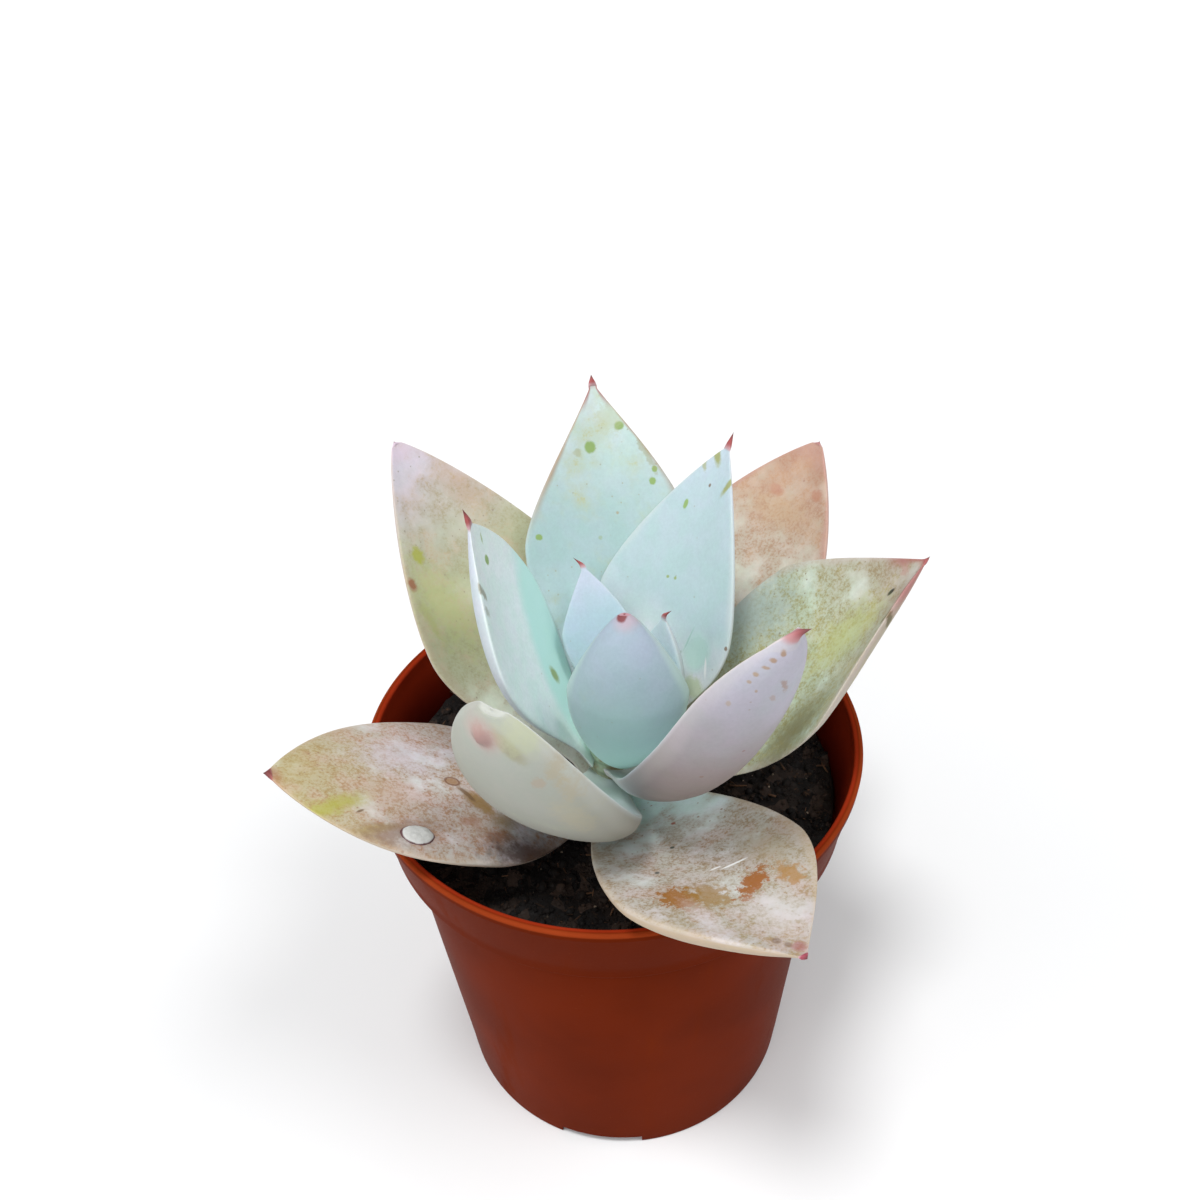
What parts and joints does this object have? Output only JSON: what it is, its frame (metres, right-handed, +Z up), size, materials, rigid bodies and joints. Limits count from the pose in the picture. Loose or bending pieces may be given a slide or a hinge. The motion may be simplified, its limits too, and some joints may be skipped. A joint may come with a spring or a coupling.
{
  "type": "potted succulent",
  "caption": "Rosette succulent with thick keeled leaves ending in small points, planted in a round plastic nursery pot.",
  "frame": {"origin": "centre of the pot's foot, on the surface that it stands on", "axes": "+Z up along the pot's axis; +X and +Y are level, and -Y is the side seen first"},
  "size_m": [0.1019, 0.1033, 0.1326],
  "materials": {
    "inner_leaf": "matte",
    "outer_leaf": "matte",
    "pot_plastic": "satin",
    "peat_soil": "matte",
    "stem": "matte"
  },
  "bodies": {
    "root": {"leaf_01": "inner_leaf", "leaf_02": "inner_leaf", "leaf_03": "inner_leaf", "leaf_04": "inner_leaf", "leaf_05": "inner_leaf", "leaf_06": "inner_leaf", "leaf_07": "inner_leaf", "leaf_08": "inner_leaf", "leaf_09": "inner_leaf", "leaf_10": "inner_leaf", "leaf_11": "outer_leaf", "leaf_12": "outer_leaf", "leaf_13": "outer_leaf", "leaf_14": "outer_leaf", "leaf_15": "outer_leaf", "pot": "pot_plastic", "soil": "peat_soil", "stem": "stem"}
  },
  "joints": []
}
